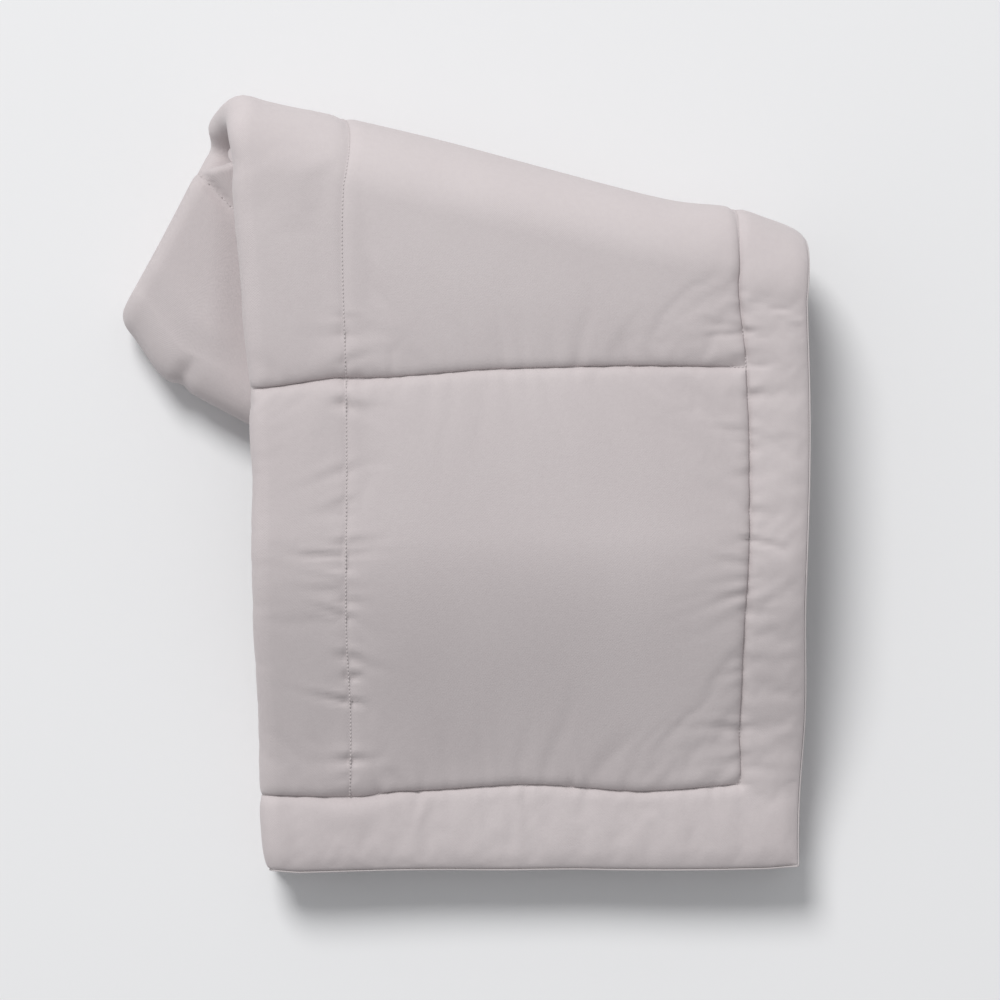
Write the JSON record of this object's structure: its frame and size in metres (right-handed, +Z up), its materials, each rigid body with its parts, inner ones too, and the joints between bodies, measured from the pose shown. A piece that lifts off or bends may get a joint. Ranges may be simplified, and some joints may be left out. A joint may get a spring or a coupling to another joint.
{
  "type": "camp quilt",
  "caption": "Box-stitched padded quilt, folded in thirds and in half and then over a slanted line, with a pair of top leaves that lift and turn over at the fold.",
  "frame": {"origin": "centre of the folded quilt's plan box, on the surface it lies on", "axes": "+Z up, +Y from the open hem towards the slanted fold, +X towards the side with the free edge"},
  "size_m": [0.5382, 0.606, 0.1086],
  "materials": {
    "face_fabric": "matte",
    "fill_sheet": "matte",
    "back_fabric": "matte",
    "thread": "matte",
    "edge_seam": "matte"
  },
  "bodies": {
    "under_leaves": {"face_fabric_outer_turn": "face_fabric", "face_fabric_inner_turn": "face_fabric", "face_fabric_under_leaves": "face_fabric", "fill_sheet_outer_turn": "fill_sheet", "fill_sheet_inner_turn": "fill_sheet", "fill_sheet_under_leaves": "fill_sheet", "back_fabric_outer_turn": "back_fabric", "back_fabric_inner_turn": "back_fabric", "back_fabric_under_leaves": "back_fabric", "side_border_stitches_turn": "thread", "box_stitches_turn": "thread", "row_stitches_under_leaf": "thread"},
    "top_leaves": {"face_fabric_top_leaf": "face_fabric", "face_fabric_second_leaf": "face_fabric", "fill_sheet_top_leaf": "fill_sheet", "fill_sheet_second_leaf": "fill_sheet", "back_fabric_top_leaf": "back_fabric", "back_fabric_second_leaf": "back_fabric", "side_border_stitches_top_leaf": "thread", "box_stitches_top_leaf": "thread", "row_stitches_top_leaf": "thread", "hem_border_stitches": "thread", "side_edge_seam_top_leaf": "edge_seam", "side_edge_seam_second_leaf": "edge_seam", "hem_seam_top_leaf": "edge_seam", "hem_seam_second_leaf": "edge_seam"}
  },
  "joints": [
    {"name": "slanted_fold", "type": "hinge", "parent": "under_leaves", "child": "top_leaves", "pos_m": [-0.16184, 0.24888, 0.0535], "axis": [-0.9703, 0.2419, 0], "range_deg": [0, 175], "deforming": ["face_fabric_outer_turn", "face_fabric_inner_turn", "fill_sheet_outer_turn", "fill_sheet_inner_turn", "back_fabric_outer_turn", "back_fabric_inner_turn", "side_border_stitches_turn", "box_stitches_turn"]}
  ]
}
